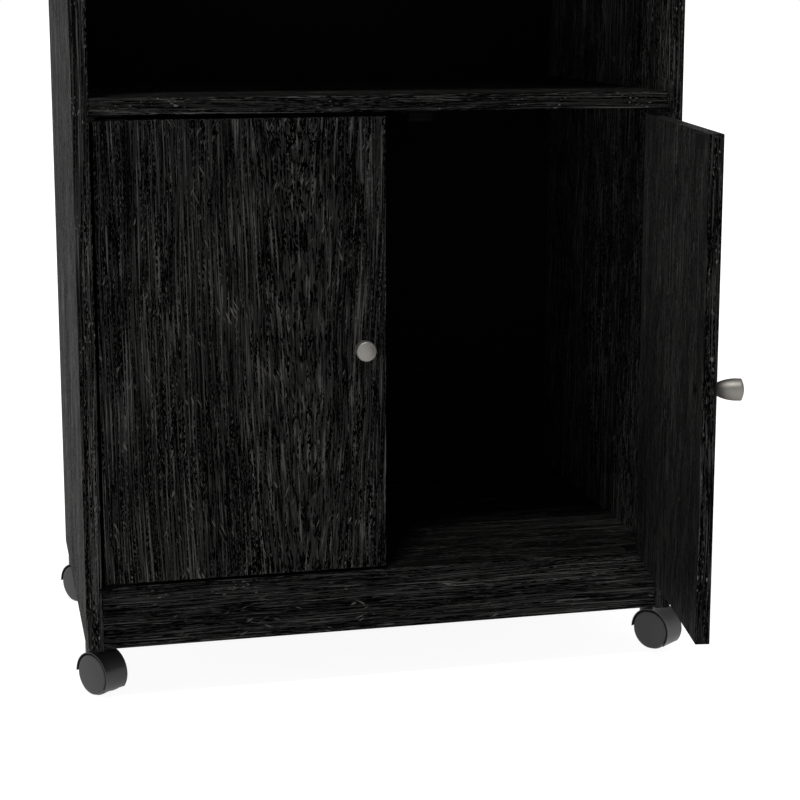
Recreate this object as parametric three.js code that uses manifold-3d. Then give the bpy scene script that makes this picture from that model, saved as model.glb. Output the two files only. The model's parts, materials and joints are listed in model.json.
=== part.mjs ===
import * as THREE from 'three';
import { mergeVertices } from 'three/addons/utils/BufferGeometryUtils.js';
import Module from 'manifold-3d';

const wasm = await Module();
wasm.setup();

// Two-door kitchen cart on four casters, in millimetres. X runs to the right, Y to the back and Z up.
// The origin is on the floor, under the middle of the side panels' footprint.
// The left door is shut and the right door stands open, so the joints start from there.

// Driving dimensions of the carcass.
const BODY_WIDTH = 597;
const BOARD = 15.9;
const PANEL_DEPTH = 385;
const PANEL_BOTTOM = 54;
const OVERALL_HEIGHT = 902;
const TOP_OVERHANG = 6;
const SHELF_TOP = 586.1;
const BOTTOM_PANEL_TOP = 116.8;
const KICK_BOTTOM = 55.5;
const FRONT_SETBACK = 1;
const BACK_THICKNESS = 3.2;
const BACK_INSET = 2;
const BACK_BOTTOM = 58;
const ASSEMBLY_GAP = 0.1;
const BOARD_CHAMFER = 0.5;

// Doors, in their shut position. The pivot stands in front of the door's face and just past its hinge edge.
const DOOR_WIDTH = 276.9;
const DOOR_THICKNESS = 12.7;
const DOOR_BOTTOM = 120;
const DOOR_TOP = 565.5;
const DOOR_SIDE_GAP = 3.2;
const DOOR_SETBACK = 1.5;
const PIVOT_AHEAD = 13.4;
const PIVOT_OUTBOARD = 2.6;
const RIGHT_DOOR_OPENING = THREE.MathUtils.degToRad(80.5);

// Offset pivots: a plate with a pin on the carcass, a plate on the door and a washer between them.
const PLATE_THICKNESS = 1.2;
const PLATE_END_RADIUS = 5;
const PLATE_NECK = 9;
const PLATE_LENGTH = 27;
const CARCASS_HEEL_SETBACK = 3;
const CARCASS_HEEL_DEPTH = 19;
const CARCASS_HEEL_SIDE_GAP = 0.4;
const DOOR_HEEL_MARGIN = 2;
const DOOR_HEEL_SIDE_GAP = 4;
const PIN_RADIUS = 2;
const PIN_CLEARANCE = 0.1;
const PIN_PROUD = 0.7;
const WASHER_RADIUS = 4.4;

// Knobs and their screws, measured along the knob's axis from the door's face.
const KNOB_FROM_EDGE = 24.5;
const KNOB_LENGTH = 28.9;
const KNOB_RADIUS = 9.8;
const KNOB_NECK = 5;
const KNOB_NECK_LENGTH = 3.5;
const KNOB_WIDEST = 22.7;
const KNOB_FULLNESS = 2.2;
const KNOB_ROUNDING = 2;
const KNOB_DOME = 1.7;
const KNOB_BORE = 1.8;
const KNOB_BORE_DEPTH = 12;
const SCREW_RADIUS = 1.6;
const SCREW_ENGAGED = 10;
const SCREW_HOLE = 2.2;
const SCREW_HEAD_RADIUS = 4;
const SCREW_HEAD_HEIGHT = 1.8;
const SCREW_CROWN_RADIUS = 2.4;
const SCREW_CROWN_HEIGHT = 1.53;
const SCREW_RIM_HEIGHT = 0.36;

// Magnetic catches under the shelf, and the strike plates they pull on.
const CATCH_SIZE = [40, 12, 11];
const CATCH_FROM_EDGE = 33;
const CATCH_FACE_GAP = 0.4;
const STRIKE_SIZE = [30, 1.2, 12];
const STRIKE_BELOW_TOP = 1.5;

// Cam locks that pull the top panel down onto the side panels.
const CAM_RADIUS = 7.4;
const CAM_LENGTH = 12;
const CAM_CLEARANCE = 0.2;
const CAM_BELOW_TOP = 24;
const CAM_FROM_EDGE = 50;
const CAM_SLOT_LENGTH = 9;
const CAM_SLOT_WIDTH = 1.6;
const CAM_SLOT_DEPTH = 1.4;

// Twin-wheel hooded casters, with the stem in a socket in the side panel's lower edge.
const CASTER_FROM_EDGE = 45;
const CASTER_TURN = THREE.MathUtils.degToRad(36.2);
const CASTER_TRAIL = 12.7;
const CASTER_HALF_WIDTH = 13.5;
const WHEEL_RADIUS = 21.2;
const WHEEL_INNER_FACE = 4;
const WHEEL_OUTER_FACE = 13.1;
const WHEEL_DOME = 0.35;
const WHEEL_EDGE = 0.8;
const AXLE_RADIUS = 2.5;
const AXLE_HALF_LENGTH = 11;
const AXLE_CLEARANCE = 0.1;
const AXLE_END_GAP = 0.5;
const HOOD_RADIUS = 22.7;
const HOOD_INNER_RADIUS = 21.7;
const HOOD_SWEEP = THREE.MathUtils.degToRad(220);
const WEB_HALF_THICKNESS = 3.1;
const WEB_HUB_RADIUS = 6;
const BOSS_RADIUS = 7.5;
const BOSS_TOP = 50;
const BOSS_ROOT = 36;
const STEM_RADIUS = 4;
const STEM_FOOT = 42.5;
const STEM_TOP = 90;
const STEM_POINT_LENGTH = 2;
const STEM_POINT_RADIUS = 3;
const COLLAR_BOTTOM = 50.3;
const COLLAR_TOP = 52;
const COLLAR_RADIUS = 6;
const STEM_CLEARANCE = 0.2;
const STEM_RUNNING_CLEARANCE = 0.1;
const STEM_END_GAP = 0.3;
const SOCKET_RADIUS = 5.4;
const SOCKET_TOP = 92;
const SOCKET_FLANGE_RADIUS = 7.2;
const SOCKET_FLANGE = 1;
const SOCKET_HOLE_EXTRA = 0.2;
const SOCKET_END_GAP = 1;

// How far a cutting tool reaches past the face that it leaves by.
const CUT_PAST = 1;

// Roundness, in facets of a full turn.
const WHEEL_FACETS = 32;
const KNOB_FACETS = 32;
const KNOB_STEPS = 6;
const PIN_FACETS = 16;
const HOOD_ARC_STEPS = 13;
const PLATE_ARC_STEPS = 6;

// Levels and planes that follow from the driving dimensions.
const FRONT = -PANEL_DEPTH / 2;
const BACK = PANEL_DEPTH / 2;
const PANEL_TOP = OVERALL_HEIGHT - BOARD - ASSEMBLY_GAP;
const SHELF_BOTTOM = SHELF_TOP - BOARD;
const INNER_HALF = BODY_WIDTH / 2 - BOARD;
const DOOR_FACE = FRONT + DOOR_SETBACK;
const DOOR_BACK = DOOR_FACE + DOOR_THICKNESS;
const DOOR_HINGE_EDGE = INNER_HALF - DOOR_SIDE_GAP;
const DOOR_FREE_EDGE = DOOR_HINGE_EDGE - DOOR_WIDTH;
const PIVOT_X = DOOR_HINGE_EDGE + PIVOT_OUTBOARD;
const PIVOT_Y = DOOR_FACE - PIVOT_AHEAD;
const CASTER_X = BODY_WIDTH / 2 - BOARD / 2;
const CASTER_Y = PANEL_DEPTH / 2 - CASTER_FROM_EDGE;

function material(color, roughness, metalness) {
  return new THREE.MeshStandardMaterial({ color, roughness, metalness });
}

const makeOak = () => material(0x1b1a19, 0.5, 0);
const makeHardboard = () => material(0x16130f, 0.85, 0);
const makeNickel = () => material(0x9b968e, 0.35, 1);
const makeBlackSteel = () => material(0x151515, 0.45, 1);
const makeZinc = () => material(0x8f9194, 0.4, 1);
const makeBlackPlastic = () => material(0x2c2d2e, 0.4, 0);
const makeNylon = () => material(0x222222, 0.5, 0);

// A solid for joining and cutting, from any closed three.js geometry.
function toSolid(geometry) {
  const merged = mergeVertices(stripped(geometry));
  return new wasm.Manifold(new wasm.Mesh({
    numProp: 3,
    vertProperties: new Float32Array(merged.attributes.position.array),
    triVerts: new Uint32Array(merged.index.array),
  }));
}

function stripped(geometry) {
  const bare = geometry.clone();
  bare.deleteAttribute('normal');
  bare.deleteAttribute('uv');
  return bare;
}

function toGeometry(solid) {
  const mesh = solid.getMesh();
  const geometry = new THREE.BufferGeometry();
  geometry.setAttribute('position', new THREE.BufferAttribute(mesh.vertProperties, mesh.numProp));
  geometry.setIndex(new THREE.BufferAttribute(mesh.triVerts, 1));
  geometry.computeVertexNormals();
  return geometry;
}

function cut(geometry, ...tools) {
  const body = tools.reduce((left, tool) => left.subtract(toSolid(tool)), toSolid(geometry));
  return toGeometry(body);
}

function join(geometry, ...others) {
  const body = others.reduce((sum, other) => sum.add(toSolid(other)), toSolid(geometry));
  return toGeometry(body);
}

// A board with a fine chamfer on every arris, centred on its own middle.
function boardGeometry([width, depth, height]) {
  const c = BOARD_CHAMFER;
  const outline = new THREE.Shape();
  outline.moveTo(c - width / 2, c - depth / 2);
  outline.lineTo(width / 2 - c, c - depth / 2);
  outline.lineTo(width / 2 - c, depth / 2 - c);
  outline.lineTo(c - width / 2, depth / 2 - c);
  const geometry = new THREE.ExtrudeGeometry(outline, {
    depth: height - 2 * c, bevelThickness: c, bevelSize: c, bevelSegments: 1,
  });
  return geometry.translate(0, 0, c - height / 2);
}

// An upright cylinder between two levels.
function upright(radius, low, high, facets = PIN_FACETS) {
  const geometry = new THREE.CylinderGeometry(radius, radius, high - low, facets);
  return geometry.rotateX(Math.PI / 2).translate(0, 0, (low + high) / 2);
}

// A turned piece: its profile is a list of [radius, level] points around Z.
function turned(profile, facets) {
  const points = profile.map(([radius, level]) => new THREE.Vector2(radius, level));
  return new THREE.LatheGeometry(points, facets).rotateX(Math.PI / 2);
}

function addMesh(parent, name, geometry, look, [x, y, z] = [0, 0, 0]) {
  const mesh = new THREE.Mesh(geometry, look);
  mesh.name = name;
  mesh.position.set(x, y, z);
  parent.add(mesh);
  return mesh;
}

// A board given by its lowest and highest corner.
function addBoard(parent, name, low, high, look) {
  const size = low.map((value, axis) => high[axis] - value);
  const middle = low.map((value, axis) => (value + high[axis]) / 2);
  return addMesh(parent, name, boardGeometry(size), look, middle);
}

// Side panels, bored for two caster sockets below and two cam locks above.
function addSidePanel(parent, side) {
  const height = PANEL_TOP - PANEL_BOTTOM;
  const socketDepth = SOCKET_TOP + SOCKET_END_GAP - PANEL_BOTTOM;
  const pocketDepth = CAM_LENGTH + 2 * CAM_CLEARANCE;
  const borings = [];
  for (const y of [-CASTER_Y, CASTER_Y]) {
    const hole = upright(SOCKET_RADIUS + SOCKET_HOLE_EXTRA, -CUT_PAST, socketDepth);
    borings.push(hole.translate(0, y, -height / 2));
  }
  for (const y of [FRONT + CAM_FROM_EDGE, BACK - CAM_FROM_EDGE]) {
    const pocket = upright(CAM_RADIUS + CAM_CLEARANCE, 0, pocketDepth + CUT_PAST);
    pocket.rotateY(Math.PI / 2);
    pocket.translate(BOARD / 2 - pocketDepth, 0, 0);
    if (side > 0) {
      pocket.rotateZ(Math.PI);
    }
    borings.push(pocket.translate(0, y, height / 2 - CAM_BELOW_TOP));
  }
  const geometry = cut(boardGeometry([BOARD, PANEL_DEPTH, height]), ...borings);
  const name = side < 0 ? 'side_panel_left' : 'side_panel_right';
  addMesh(parent, name, geometry, makeOak(), [side * CASTER_X, 0, (PANEL_TOP + PANEL_BOTTOM) / 2]);
}

function addCarcassBoards(parent) {
  const inner = INNER_HALF - ASSEMBLY_GAP;
  const front = FRONT + FRONT_SETBACK;
  const under = BOTTOM_PANEL_TOP - BOARD;
  const top = BODY_WIDTH / 2 + TOP_OVERHANG;
  const backFace = BACK + ASSEMBLY_GAP + BACK_THICKNESS;
  addBoard(parent, 'top_panel', [-top, FRONT - TOP_OVERHANG, OVERALL_HEIGHT - BOARD],
    [top, backFace, OVERALL_HEIGHT], makeOak());
  addBoard(parent, 'shelf', [-inner, front, SHELF_BOTTOM], [inner, BACK, SHELF_TOP], makeOak());
  addBoard(parent, 'bottom_panel', [-inner, front, under], [inner, BACK, BOTTOM_PANEL_TOP], makeOak());
  addBoard(parent, 'kick_plate', [-inner, front, KICK_BOTTOM],
    [inner, front + BOARD, under - ASSEMBLY_GAP], makeOak());
  addBoard(parent, 'rear_rail', [-inner, BACK - BOARD, KICK_BOTTOM],
    [inner, BACK, under - ASSEMBLY_GAP], makeOak());
  addBoard(parent, 'back_panel', [BACK_INSET - BODY_WIDTH / 2, BACK + ASSEMBLY_GAP, BACK_BOTTOM],
    [BODY_WIDTH / 2 - BACK_INSET, backFace, PANEL_TOP], makeHardboard());
}

// Cam locks lie flush in the side panels' inner faces, with a driver slot in each.
function addCamLocks(parent) {
  for (const side of [-1, 1]) {
    for (const [row, y] of [['front', FRONT + CAM_FROM_EDGE], ['rear', BACK - CAM_FROM_EDGE]]) {
      const slot = new THREE.BoxGeometry(CAM_SLOT_LENGTH, CAM_SLOT_WIDTH, 2 * CAM_SLOT_DEPTH);
      const cam = cut(upright(CAM_RADIUS, 0, CAM_LENGTH), slot.translate(0, 0, CAM_LENGTH));
      cam.rotateY(-side * Math.PI / 2);
      const inside = side * (INNER_HALF + CAM_LENGTH + CAM_CLEARANCE);
      const name = `cam_lock_${row}_${side < 0 ? 'left' : 'right'}`;
      addMesh(parent, name, cam, makeZinc(), [inside, y, PANEL_TOP - CAM_BELOW_TOP]);
    }
  }
}

// Where a line from a point touches a circle; turn is 1 or -1 for the touch on either side.
function touchPoint(point, radius, turn) {
  const bearing = Math.atan2(point.y, point.x) + turn * Math.acos(radius / point.length());
  return new THREE.Vector2(radius * Math.cos(bearing), radius * Math.sin(bearing));
}

// A pivot plate around its pin at the origin: a round nose, a neck and a wide heel with square corners.
function plateShape(heelNear, heelFar, outboard) {
  const outerNeck = new THREE.Vector2(outboard, heelNear);
  const innerNeck = new THREE.Vector2(outboard - PLATE_NECK, heelNear);
  const outerTouch = touchPoint(outerNeck, PLATE_END_RADIUS, -1);
  const innerTouch = touchPoint(innerNeck, PLATE_END_RADIUS, 1);
  const shape = new THREE.Shape();
  shape.moveTo(outboard, heelFar);
  shape.lineTo(outboard - PLATE_LENGTH, heelFar);
  shape.lineTo(outboard - PLATE_LENGTH, heelNear);
  shape.lineTo(innerNeck.x, innerNeck.y);
  shape.lineTo(innerTouch.x, innerTouch.y);
  shape.absarc(0, 0, PLATE_END_RADIUS, innerTouch.angle(), outerTouch.angle(), false);
  shape.lineTo(outerNeck.x, outerNeck.y);
  return shape;
}

function plateGeometry(shape, low) {
  const options = { depth: PLATE_THICKNESS, bevelEnabled: false, curveSegments: PLATE_ARC_STEPS };
  return new THREE.ExtrudeGeometry(shape, options).translate(0, 0, low);
}

// The mirror image of a geometry across its own YZ plane, with its faces still pointing out.
function mirrored(geometry) {
  const flipped = mergeVertices(stripped(geometry));
  flipped.scale(-1, 1, 1);
  flipped.index.array.reverse();
  return flipped;
}

// Heel edges of the two plates, measured from the pin's axis: near, far and outboard.
const CARCASS_HEEL = [
  FRONT + CARCASS_HEEL_SETBACK - PIVOT_Y,
  FRONT + CARCASS_HEEL_SETBACK + CARCASS_HEEL_DEPTH - PIVOT_Y,
  DOOR_HINGE_EDGE - CARCASS_HEEL_SIDE_GAP - PIVOT_X,
];
const DOOR_HEEL = [
  DOOR_FACE + DOOR_HEEL_MARGIN - PIVOT_Y,
  DOOR_BACK - DOOR_HEEL_MARGIN - PIVOT_Y,
  DOOR_HINGE_EDGE - DOOR_HEEL_SIDE_GAP - PIVOT_X,
];

// Levels of the pivot pieces at the top and at the bottom of a door.
function pivotLevels(isTop) {
  const away = isTop ? -1 : 1;
  const seat = isTop ? SHELF_BOTTOM : BOTTOM_PANEL_TOP;
  const doorEdge = isTop ? DOOR_TOP : DOOR_BOTTOM;
  const span = (from, to) => [Math.min(from, to), Math.max(from, to)];
  const fixed = span(seat + away * ASSEMBLY_GAP, seat + away * (ASSEMBLY_GAP + PLATE_THICKNESS));
  const moving = span(doorEdge - away * ASSEMBLY_GAP, doorEdge - away * (ASSEMBLY_GAP + PLATE_THICKNESS));
  const fixedFace = isTop ? fixed[0] : fixed[1];
  const movingFace = isTop ? moving[1] : moving[0];
  const washer = span(fixedFace + away * ASSEMBLY_GAP, movingFace - away * ASSEMBLY_GAP);
  const pin = span(fixedFace - away * PLATE_THICKNESS / 2, doorEdge + away * PIN_PROUD);
  return { fixed, moving, washer, pin };
}

function pinHole(low, high) {
  return upright(PIN_RADIUS + PIN_CLEARANCE, low - CUT_PAST, high + CUT_PAST);
}

// A geometry as drawn for the right hand, or its mirror image for the left.
function handed(geometry, side) {
  return side < 0 ? mirrored(geometry) : geometry;
}

function addPivots(carcass, doorGroup, side) {
  const hand = side < 0 ? 'left' : 'right';
  for (const isTop of [true, false]) {
    const place = isTop ? 'top' : 'bottom';
    const levels = pivotLevels(isTop);
    const plate = plateGeometry(plateShape(...CARCASS_HEEL), levels.fixed[0]);
    const fixed = join(plate, upright(PIN_RADIUS, ...levels.pin));
    addMesh(carcass, `pivot_plate_carcass_${hand}_${place}`, handed(fixed, side), makeBlackSteel(),
      [side * PIVOT_X, PIVOT_Y, 0]);
    const ring = cut(upright(WASHER_RADIUS, ...levels.washer), pinHole(...levels.washer));
    addMesh(carcass, `pivot_washer_${hand}_${place}`, ring, makeNylon(), [side * PIVOT_X, PIVOT_Y, 0]);
    const heel = plateGeometry(plateShape(...DOOR_HEEL), levels.moving[0]);
    const swinging = cut(heel, pinHole(...levels.moving));
    addMesh(doorGroup, `pivot_plate_door_${hand}_${place}`, handed(swinging, side), makeBlackSteel());
  }
}

// The knob is turned: a short neck swells to the widest part and ends in a low dome.
function knobGeometry() {
  const swell = KNOB_RADIUS - KNOB_NECK;
  const run = KNOB_WIDEST - KNOB_NECK_LENGTH;
  const profile = [
    [0, KNOB_BORE_DEPTH], [KNOB_BORE, KNOB_BORE_DEPTH], [KNOB_BORE, 0],
    [KNOB_NECK, 0], [KNOB_NECK, KNOB_NECK_LENGTH],
  ];
  for (let step = 1; step <= KNOB_STEPS; step += 1) {
    const part = step / KNOB_STEPS;
    const radius = KNOB_NECK + swell * (1 - Math.pow(1 - part, KNOB_FULLNESS));
    profile.push([radius, KNOB_NECK_LENGTH + run * part]);
  }
  const rim = KNOB_LENGTH - KNOB_DOME;
  profile.push([KNOB_RADIUS - KNOB_ROUNDING / 3, rim - KNOB_ROUNDING / 2]);
  profile.push([KNOB_RADIUS - KNOB_ROUNDING, rim]);
  // The dome is a parabola, so half way out it has fallen by a quarter of its height.
  profile.push([KNOB_RADIUS / 2, KNOB_LENGTH - KNOB_DOME / 4]);
  profile.push([0, KNOB_LENGTH]);
  return turned(profile, KNOB_FACETS);
}

// The screw comes through the door from behind: a low crowned head, and a shank that ends inside the knob.
function screwGeometry() {
  const head = -DOOR_THICKNESS - ASSEMBLY_GAP;
  const profile = [
    [0, head - SCREW_HEAD_HEIGHT],
    [SCREW_CROWN_RADIUS, head - SCREW_CROWN_HEIGHT],
    [SCREW_HEAD_RADIUS, head - SCREW_RIM_HEIGHT],
    [SCREW_HEAD_RADIUS, head],
    [SCREW_RADIUS, head],
    [SCREW_RADIUS, SCREW_ENGAGED],
    [0, SCREW_ENGAGED],
  ];
  return turned(profile, PIN_FACETS);
}

// Door group: its origin is on the pivot's axis and its pieces stand in the shut position.
function addDoor(cart, carcass, side) {
  const hand = side < 0 ? 'left' : 'right';
  const group = new THREE.Group();
  group.position.set(side * PIVOT_X, PIVOT_Y, 0);
  group.rotation.z = side > 0 ? RIGHT_DOOR_OPENING : 0;
  cart.add(group);
  const toGroup = ([x, y, z]) => [side * (x - PIVOT_X), y - PIVOT_Y, z];
  const middle = (DOOR_BOTTOM + DOOR_TOP) / 2;
  const knobX = DOOR_FREE_EDGE + KNOB_FROM_EDGE;
  const doorX = (DOOR_FREE_EDGE + DOOR_HINGE_EDGE) / 2;
  const hole = upright(SCREW_HOLE, -DOOR_THICKNESS, DOOR_THICKNESS).rotateX(Math.PI / 2);
  hole.translate(side * (knobX - doorX), 0, 0);
  const door = cut(boardGeometry([DOOR_WIDTH, DOOR_THICKNESS, DOOR_TOP - DOOR_BOTTOM]), hole);
  addMesh(group, `door_${hand}`, door, makeOak(), toGroup([doorX, (DOOR_FACE + DOOR_BACK) / 2, middle]));
  const knob = knobGeometry().rotateX(Math.PI / 2);
  addMesh(group, `door_knob_${hand}`, knob, makeNickel(), toGroup([knobX, DOOR_FACE - ASSEMBLY_GAP, middle]));
  const screw = screwGeometry().rotateX(Math.PI / 2);
  addMesh(group, `knob_screw_${hand}`, screw, makeBlackSteel(), toGroup([knobX, DOOR_FACE, middle]));
  const strikeX = DOOR_FREE_EDGE + CATCH_FROM_EDGE;
  const strikeZ = DOOR_TOP - STRIKE_BELOW_TOP - STRIKE_SIZE[2] / 2;
  addMesh(group, `strike_plate_${hand}`, new THREE.BoxGeometry(...STRIKE_SIZE), makeBlackSteel(),
    toGroup([strikeX, DOOR_BACK + ASSEMBLY_GAP + STRIKE_SIZE[1] / 2, strikeZ]));
  addPivots(carcass, group, side);
}

// Magnetic catches hang from the shelf, just behind the strike plates of the shut doors.
function addCatches(parent) {
  const strikeBack = DOOR_BACK + ASSEMBLY_GAP + STRIKE_SIZE[1];
  for (const side of [-1, 1]) {
    const x = side * (DOOR_FREE_EDGE + CATCH_FROM_EDGE);
    const y = strikeBack + CATCH_FACE_GAP + CATCH_SIZE[1] / 2;
    const z = SHELF_BOTTOM - ASSEMBLY_GAP - CATCH_SIZE[2] / 2;
    const name = `magnetic_catch_${side < 0 ? 'left' : 'right'}`;
    addMesh(parent, name, boardGeometry(CATCH_SIZE), makeBlackPlastic(), [x, y, z]);
  }
}

// The hood is one moulding: a curved shell over both wheels, a web between them and a boss for the stem.
// In its own frame the stem's axis is Z, the axle lies along X and the wheels trail towards -Y.
function hoodGeometry() {
  const toAxleFrame = new THREE.Matrix4().makeBasis(
    new THREE.Vector3(0, 1, 0), new THREE.Vector3(0, 0, 1), new THREE.Vector3(1, 0, 0));
  const placed = (shape, halfWidth) => {
    const options = { depth: 2 * halfWidth, bevelEnabled: false, curveSegments: HOOD_ARC_STEPS };
    const geometry = new THREE.ExtrudeGeometry(shape, options).translate(0, 0, -halfWidth);
    return geometry.applyMatrix4(toAxleFrame).translate(0, -CASTER_TRAIL, WHEEL_RADIUS);
  };
  const shell = new THREE.Shape();
  shell.absarc(0, 0, HOOD_RADIUS, 0, HOOD_SWEEP, false);
  shell.absarc(0, 0, HOOD_INNER_RADIUS, HOOD_SWEEP, 0, true);
  const web = new THREE.Shape();
  web.absarc(0, 0, (HOOD_RADIUS + HOOD_INNER_RADIUS) / 2, 0, HOOD_SWEEP, false);
  web.absarc(0, 0, WEB_HUB_RADIUS, HOOD_SWEEP, 2 * Math.PI, false);
  const acrossX = geometry => geometry.rotateY(Math.PI / 2).translate(0, -CASTER_TRAIL, WHEEL_RADIUS);
  const wheelSpaceHalf = BOSS_RADIUS + CUT_PAST;
  const wheelSpace = acrossX(upright(HOOD_INNER_RADIUS, -wheelSpaceHalf, wheelSpaceHalf, WHEEL_FACETS));
  const boss = cut(upright(BOSS_RADIUS, BOSS_ROOT, BOSS_TOP), wheelSpace);
  const body = join(placed(shell, CASTER_HALF_WIDTH), placed(web, WEB_HALF_THICKNESS), boss);
  const stemBore = upright(STEM_RADIUS + STEM_CLEARANCE, STEM_FOOT - STEM_END_GAP, BOSS_TOP + CUT_PAST);
  const axleBore = acrossX(upright(AXLE_RADIUS + AXLE_CLEARANCE, -CASTER_HALF_WIDTH, CASTER_HALF_WIDTH));
  return cut(body, stemBore, axleBore);
}

// A wheel with chamfered edges, a slightly domed outer face and a blind bore for the axle.
function wheelGeometry() {
  const bore = AXLE_RADIUS + AXLE_CLEARANCE;
  const boreEnd = AXLE_HALF_LENGTH + AXLE_END_GAP;
  const tread = WHEEL_RADIUS - WHEEL_EDGE;
  const profile = [
    [0, boreEnd], [bore, boreEnd], [bore, WHEEL_INNER_FACE], [tread, WHEEL_INNER_FACE],
    [WHEEL_RADIUS, WHEEL_INNER_FACE + WHEEL_EDGE], [WHEEL_RADIUS, WHEEL_OUTER_FACE - WHEEL_EDGE],
    [tread, WHEEL_OUTER_FACE], [0, WHEEL_OUTER_FACE + WHEEL_DOME],
  ];
  return turned(profile, WHEEL_FACETS);
}

// The stem has a collar between the hood's boss and the socket's flange, and a tapered point.
function stemGeometry() {
  const profile = [
    [0, STEM_FOOT], [STEM_RADIUS, STEM_FOOT],
    [STEM_RADIUS, COLLAR_BOTTOM], [COLLAR_RADIUS, COLLAR_BOTTOM],
    [COLLAR_RADIUS, COLLAR_TOP], [STEM_RADIUS, COLLAR_TOP],
    [STEM_RADIUS, STEM_TOP - STEM_POINT_LENGTH], [STEM_POINT_RADIUS, STEM_TOP], [0, STEM_TOP],
  ];
  return turned(profile, PIN_FACETS);
}

// The socket is a steel sleeve with a flange that bears on the panel's lower edge.
function socketGeometry() {
  const bore = STEM_RADIUS + STEM_RUNNING_CLEARANCE;
  const seat = PANEL_BOTTOM - ASSEMBLY_GAP;
  const profile = [
    [bore, seat - SOCKET_FLANGE], [SOCKET_FLANGE_RADIUS, seat - SOCKET_FLANGE], [SOCKET_FLANGE_RADIUS, seat],
    [SOCKET_RADIUS, seat], [SOCKET_RADIUS, SOCKET_TOP], [bore, SOCKET_TOP], [bore, seat - SOCKET_FLANGE],
  ];
  return turned(profile, PIN_FACETS);
}

function addCaster(cart, carcass, name, x, y) {
  addMesh(carcass, `caster_socket_${name}`, socketGeometry(), makeZinc(), [x, y, 0]);
  const group = new THREE.Group();
  group.position.set(x, y, 0);
  group.rotation.z = CASTER_TURN;
  cart.add(group);
  addMesh(group, `caster_hood_${name}`, hoodGeometry(), makeBlackPlastic());
  addMesh(group, `caster_stem_${name}`, stemGeometry(), makeZinc());
  const axle = upright(AXLE_RADIUS, -AXLE_HALF_LENGTH, AXLE_HALF_LENGTH).rotateY(Math.PI / 2);
  addMesh(group, `caster_axle_${name}`, axle, makeZinc(), [0, -CASTER_TRAIL, WHEEL_RADIUS]);
  for (const [end, turn] of [['outer', -Math.PI / 2], ['inner', Math.PI / 2]]) {
    const wheel = wheelGeometry().rotateY(turn);
    const axlePlace = [0, -CASTER_TRAIL, WHEEL_RADIUS];
    addMesh(group, `caster_wheel_${name}_${end}`, wheel, makeBlackPlastic(), axlePlace);
  }
}

const cart = new THREE.Group();
const carcass = new THREE.Group();
cart.add(carcass);
addSidePanel(carcass, -1);
addSidePanel(carcass, 1);
addCarcassBoards(carcass);
addCamLocks(carcass);
addCatches(carcass);
addDoor(cart, carcass, -1);
addDoor(cart, carcass, 1);
addCaster(cart, carcass, 'front_left', -CASTER_X, -CASTER_Y);
addCaster(cart, carcass, 'front_right', CASTER_X, -CASTER_Y);
addCaster(cart, carcass, 'rear_left', -CASTER_X, CASTER_Y);
addCaster(cart, carcass, 'rear_right', CASTER_X, CASTER_Y);

export default cart;
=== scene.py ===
import json
import math
import bpy
import bmesh
from mathutils import Matrix, Vector
from mathutils.geometry import delaunay_2d_cdt


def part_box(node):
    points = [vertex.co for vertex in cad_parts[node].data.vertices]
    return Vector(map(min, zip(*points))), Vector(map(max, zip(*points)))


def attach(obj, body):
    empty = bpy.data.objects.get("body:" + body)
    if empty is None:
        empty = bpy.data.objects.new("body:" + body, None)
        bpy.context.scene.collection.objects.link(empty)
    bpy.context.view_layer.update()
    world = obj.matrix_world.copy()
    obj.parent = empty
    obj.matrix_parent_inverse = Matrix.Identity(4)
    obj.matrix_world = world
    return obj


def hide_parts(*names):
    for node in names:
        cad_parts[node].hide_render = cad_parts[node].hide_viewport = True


# Two-door kitchen cart on casters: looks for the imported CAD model, in metres and in its frame.

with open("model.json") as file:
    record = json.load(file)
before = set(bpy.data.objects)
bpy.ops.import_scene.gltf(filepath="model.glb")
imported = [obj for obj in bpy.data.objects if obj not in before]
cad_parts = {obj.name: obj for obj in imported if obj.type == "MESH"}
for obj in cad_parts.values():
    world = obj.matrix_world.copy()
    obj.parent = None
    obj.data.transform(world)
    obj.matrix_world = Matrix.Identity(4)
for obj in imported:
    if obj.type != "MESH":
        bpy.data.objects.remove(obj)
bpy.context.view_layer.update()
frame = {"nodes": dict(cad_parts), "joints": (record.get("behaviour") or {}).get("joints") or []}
NODES = frame["nodes"]
JOINTS = {joint["name"]: joint for joint in frame["joints"]}

CORNERS = ("front_left", "front_right", "rear_left", "rear_right")
HANDS = ("left", "right")
SHARP = math.radians(32)

# ---------------------------------------------------------------- camera and light

CAMERA_PLACE = (-0.3932, -1.9273, 0.6785)
CAMERA_YAW = 13.125
CAMERA_PITCH = 9.889
CAMERA_LENS = 83.57
CAMERA_SHIFT = -0.10
CAMERA_SENSOR = 36.0

HORIZON_GLOW = (1.06, 1.06, 1.06)
HORIZON_TOP = 0.16
UPPER_GLOW = (0.33, 0.335, 0.345)
UPPER_START = 0.5
KEY_DIRECTION = (0.19, 0.29, -0.94)
KEY_STRENGTH = 2.2
KEY_SOFTNESS = 9.0
KEY_COLOUR = (1.0, 0.985, 0.96)
FLOOR_SIZE = 120.0
FLOOR_ALBEDO = 0.3
FLOOR_GLOW = 0.92


def add_camera():
    data = bpy.data.cameras.new("Camera")
    camera = bpy.data.objects.new("Camera", data)
    bpy.context.scene.collection.objects.link(camera)
    data.lens = CAMERA_LENS
    data.sensor_width = CAMERA_SENSOR
    data.shift_y = CAMERA_SHIFT
    data.clip_start = 0.05
    data.clip_end = 200.0
    camera.location = CAMERA_PLACE
    camera.rotation_euler = (math.radians(90 - CAMERA_PITCH), 0, -math.radians(CAMERA_YAW))
    bpy.context.scene.camera = camera


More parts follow.
